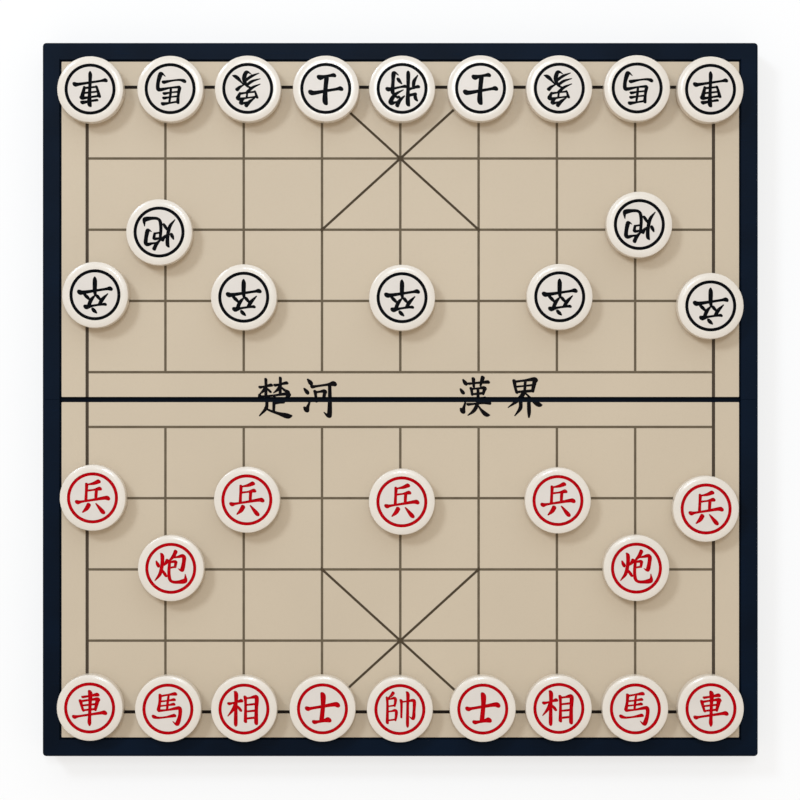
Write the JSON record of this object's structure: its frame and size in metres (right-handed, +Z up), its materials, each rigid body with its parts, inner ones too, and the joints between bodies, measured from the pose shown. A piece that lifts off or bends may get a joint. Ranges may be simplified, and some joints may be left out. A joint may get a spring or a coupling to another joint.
{
  "type": "folding xiangqi board box",
  "caption": "Folding game-board box: two hollow halves hinged at the seam carry steel playing sheets on top, storage trays inside and round magnetic discs.",
  "frame": {"origin": "on the table below the centre of the open board, at the middle of the seam", "axes": "+X along the seam to the right, +Y from the red player's side to the black player's side, +Z up"},
  "size_m": [0.325, 0.3242, 0.0292],
  "materials": {
    "case": "satin",
    "sheet": "satin",
    "ink": "matte",
    "tray": "matte",
    "steel": "brushed",
    "foot": "matte",
    "clasp": "satin",
    "red_disc": "polished",
    "black_disc": "polished"
  },
  "bodies": {
    "lower_half": {"lower_case": "case", "lower_sheet": "sheet", "lower_grid": "ink", "lower_tray": "tray", "lower_tray_screws": "steel", "lower_feet": "foot", "hinge_pin_left": "steel", "hinge_pin_right": "steel", "clasp_pin_left": "steel", "clasp_pin_right": "steel"},
    "upper_half": {"upper_case": "case", "upper_sheet": "sheet", "upper_grid": "ink", "upper_tray": "tray", "upper_tray_screws": "steel", "upper_feet": "foot"},
    "clasp_left": {"clasp_left": "clasp"},
    "clasp_right": {"clasp_right": "clasp"},
    "red_chariot_left": {"red_chariot_left": "red_disc"},
    "red_horse_left": {"red_horse_left": "red_disc"},
    "red_elephant_left": {"red_elephant_left": "red_disc"},
    "red_advisor_left": {"red_advisor_left": "red_disc"},
    "red_general": {"red_general": "red_disc"},
    "red_advisor_right": {"red_advisor_right": "red_disc"},
    "red_elephant_right": {"red_elephant_right": "red_disc"},
    "red_horse_right": {"red_horse_right": "red_disc"},
    "red_chariot_right": {"red_chariot_right": "red_disc"},
    "red_cannon_left": {"red_cannon_left": "red_disc"},
    "red_cannon_right": {"red_cannon_right": "red_disc"},
    "red_soldier_1": {"red_soldier_1": "red_disc"},
    "red_soldier_2": {"red_soldier_2": "red_disc"},
    "red_soldier_3": {"red_soldier_3": "red_disc"},
    "red_soldier_4": {"red_soldier_4": "red_disc"},
    "red_soldier_5": {"red_soldier_5": "red_disc"},
    "black_chariot_left": {"black_chariot_left": "black_disc"},
    "black_horse_left": {"black_horse_left": "black_disc"},
    "black_elephant_left": {"black_elephant_left": "black_disc"},
    "black_advisor_left": {"black_advisor_left": "black_disc"},
    "black_general": {"black_general": "black_disc"},
    "black_advisor_right": {"black_advisor_right": "black_disc"},
    "black_elephant_right": {"black_elephant_right": "black_disc"},
    "black_horse_right": {"black_horse_right": "black_disc"},
    "black_chariot_right": {"black_chariot_right": "black_disc"},
    "black_cannon_left": {"black_cannon_left": "black_disc"},
    "black_cannon_right": {"black_cannon_right": "black_disc"},
    "black_soldier_1": {"black_soldier_1": "black_disc"},
    "black_soldier_2": {"black_soldier_2": "black_disc"},
    "black_soldier_3": {"black_soldier_3": "black_disc"},
    "black_soldier_4": {"black_soldier_4": "black_disc"},
    "black_soldier_5": {"black_soldier_5": "black_disc"}
  },
  "joints": [
    {"name": "board_fold", "type": "hinge", "parent": "lower_half", "child": "upper_half", "pos_m": [0, 0, 0.0025], "axis": [-1, 0, 0], "range_deg": [0, 180]},
    {"name": "clasp_left_swing", "type": "hinge", "parent": "lower_half", "child": "clasp_left", "pos_m": [-0.075, -0.16075, 0.0046], "axis": [1, 0, 0], "range_deg": [0, 180]},
    {"name": "clasp_right_swing", "type": "hinge", "parent": "lower_half", "child": "clasp_right", "pos_m": [0.075, -0.16075, 0.0046], "axis": [1, 0, 0], "range_deg": [0, 180]},
    {"name": "lift_red_chariot_left", "type": "slide", "parent": "lower_half", "child": "red_chariot_left", "axis": [0, 0, 1], "range_m": [0, 0.03]},
    {"name": "lift_red_horse_left", "type": "slide", "parent": "lower_half", "child": "red_horse_left", "axis": [0, 0, 1], "range_m": [0, 0.03]},
    {"name": "lift_red_elephant_left", "type": "slide", "parent": "lower_half", "child": "red_elephant_left", "axis": [0, 0, 1], "range_m": [0, 0.03]},
    {"name": "lift_red_advisor_left", "type": "slide", "parent": "lower_half", "child": "red_advisor_left", "axis": [0, 0, 1], "range_m": [0, 0.03]},
    {"name": "lift_red_general", "type": "slide", "parent": "lower_half", "child": "red_general", "axis": [0, 0, 1], "range_m": [0, 0.03]},
    {"name": "lift_red_advisor_right", "type": "slide", "parent": "lower_half", "child": "red_advisor_right", "axis": [0, 0, 1], "range_m": [0, 0.03]},
    {"name": "lift_red_elephant_right", "type": "slide", "parent": "lower_half", "child": "red_elephant_right", "axis": [0, 0, 1], "range_m": [0, 0.03]},
    {"name": "lift_red_horse_right", "type": "slide", "parent": "lower_half", "child": "red_horse_right", "axis": [0, 0, 1], "range_m": [0, 0.03]},
    {"name": "lift_red_chariot_right", "type": "slide", "parent": "lower_half", "child": "red_chariot_right", "axis": [0, 0, 1], "range_m": [0, 0.03]},
    {"name": "lift_red_cannon_left", "type": "slide", "parent": "lower_half", "child": "red_cannon_left", "axis": [0, 0, 1], "range_m": [0, 0.03]},
    {"name": "lift_red_cannon_right", "type": "slide", "parent": "lower_half", "child": "red_cannon_right", "axis": [0, 0, 1], "range_m": [0, 0.03]},
    {"name": "lift_red_soldier_1", "type": "slide", "parent": "lower_half", "child": "red_soldier_1", "axis": [0, 0, 1], "range_m": [0, 0.03]},
    {"name": "lift_red_soldier_2", "type": "slide", "parent": "lower_half", "child": "red_soldier_2", "axis": [0, 0, 1], "range_m": [0, 0.03]},
    {"name": "lift_red_soldier_3", "type": "slide", "parent": "lower_half", "child": "red_soldier_3", "axis": [0, 0, 1], "range_m": [0, 0.03]},
    {"name": "lift_red_soldier_4", "type": "slide", "parent": "lower_half", "child": "red_soldier_4", "axis": [0, 0, 1], "range_m": [0, 0.03]},
    {"name": "lift_red_soldier_5", "type": "slide", "parent": "lower_half", "child": "red_soldier_5", "axis": [0, 0, 1], "range_m": [0, 0.03]},
    {"name": "lift_black_chariot_left", "type": "slide", "parent": "upper_half", "child": "black_chariot_left", "axis": [0, 0, 1], "range_m": [0, 0.03]},
    {"name": "lift_black_horse_left", "type": "slide", "parent": "upper_half", "child": "black_horse_left", "axis": [0, 0, 1], "range_m": [0, 0.03]},
    {"name": "lift_black_elephant_left", "type": "slide", "parent": "upper_half", "child": "black_elephant_left", "axis": [0, 0, 1], "range_m": [0, 0.03]},
    {"name": "lift_black_advisor_left", "type": "slide", "parent": "upper_half", "child": "black_advisor_left", "axis": [0, 0, 1], "range_m": [0, 0.03]},
    {"name": "lift_black_general", "type": "slide", "parent": "upper_half", "child": "black_general", "axis": [0, 0, 1], "range_m": [0, 0.03]},
    {"name": "lift_black_advisor_right", "type": "slide", "parent": "upper_half", "child": "black_advisor_right", "axis": [0, 0, 1], "range_m": [0, 0.03]},
    {"name": "lift_black_elephant_right", "type": "slide", "parent": "upper_half", "child": "black_elephant_right", "axis": [0, 0, 1], "range_m": [0, 0.03]},
    {"name": "lift_black_horse_right", "type": "slide", "parent": "upper_half", "child": "black_horse_right", "axis": [0, 0, 1], "range_m": [0, 0.03]},
    {"name": "lift_black_chariot_right", "type": "slide", "parent": "upper_half", "child": "black_chariot_right", "axis": [0, 0, 1], "range_m": [0, 0.03]},
    {"name": "lift_black_cannon_left", "type": "slide", "parent": "upper_half", "child": "black_cannon_left", "axis": [0, 0, 1], "range_m": [0, 0.03]},
    {"name": "lift_black_cannon_right", "type": "slide", "parent": "upper_half", "child": "black_cannon_right", "axis": [0, 0, 1], "range_m": [0, 0.03]},
    {"name": "lift_black_soldier_1", "type": "slide", "parent": "upper_half", "child": "black_soldier_1", "axis": [0, 0, 1], "range_m": [0, 0.03]},
    {"name": "lift_black_soldier_2", "type": "slide", "parent": "upper_half", "child": "black_soldier_2", "axis": [0, 0, 1], "range_m": [0, 0.03]},
    {"name": "lift_black_soldier_3", "type": "slide", "parent": "upper_half", "child": "black_soldier_3", "axis": [0, 0, 1], "range_m": [0, 0.03]},
    {"name": "lift_black_soldier_4", "type": "slide", "parent": "upper_half", "child": "black_soldier_4", "axis": [0, 0, 1], "range_m": [0, 0.03]},
    {"name": "lift_black_soldier_5", "type": "slide", "parent": "upper_half", "child": "black_soldier_5", "axis": [0, 0, 1], "range_m": [0, 0.03]}
  ]
}
